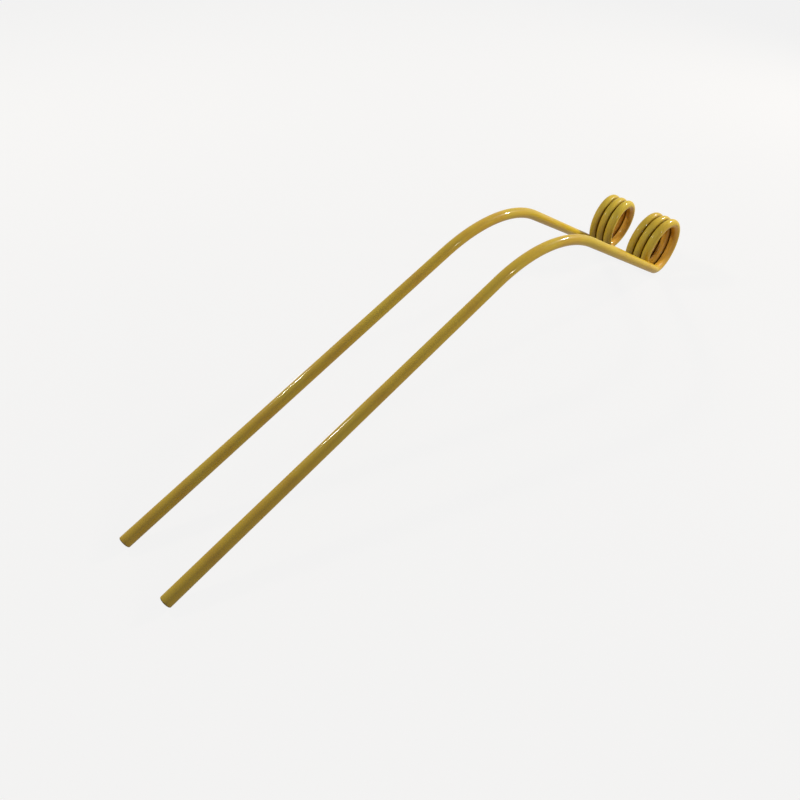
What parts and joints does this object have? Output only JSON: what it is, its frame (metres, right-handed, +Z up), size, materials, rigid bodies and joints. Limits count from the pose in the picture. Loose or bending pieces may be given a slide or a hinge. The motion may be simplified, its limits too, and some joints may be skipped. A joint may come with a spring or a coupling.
{
  "type": "hay rake tine",
  "caption": "Double spring tine of round wire: a hairpin for the bolt, a close-wound coil on either side of it, and two long parallel legs bent at rounded elbows.",
  "frame": {"origin": "on the floor, at the middle of the bounding box's underside", "axes": "+X runs from the coils towards the cut ends of the legs, +Y is the axis of both coils, +Z is up, with the part lying as it comes to rest on the hairpin's crown and the two cut ends"},
  "size_m": [0.6254, 0.0956, 0.1239],
  "materials": {
    "yellow_enamel": "gloss"
  },
  "bodies": {
    "root": {"tine": "yellow_enamel"}
  },
  "joints": []
}
